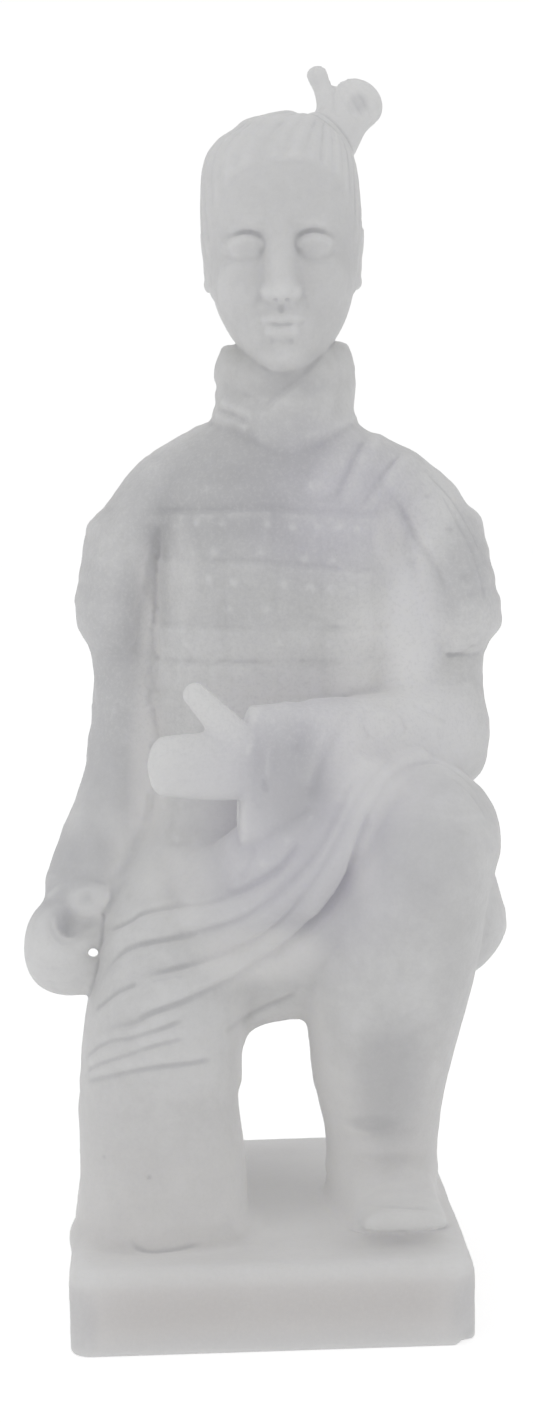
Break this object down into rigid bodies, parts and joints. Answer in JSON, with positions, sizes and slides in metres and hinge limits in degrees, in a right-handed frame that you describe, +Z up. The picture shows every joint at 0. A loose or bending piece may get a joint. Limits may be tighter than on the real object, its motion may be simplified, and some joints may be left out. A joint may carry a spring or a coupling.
{
  "type": "kneeling warrior statue",
  "caption": "Frosted cast-glass figure of an armoured warrior kneeling on one knee on a rounded rectangular plinth, one forearm across the raised knee.",
  "frame": {"origin": "centre of the plinth's underside", "axes": "+Z up the statue, -Y the way the figure faces, +X to the right of a viewer in front"},
  "size_m": [0.0928, 0.0924, 0.2334],
  "materials": {
    "frosted_glass": "frosted, translucent white"
  },
  "bodies": {
    "root": {"kneeling_warrior": "frosted_glass"}
  },
  "joints": []
}
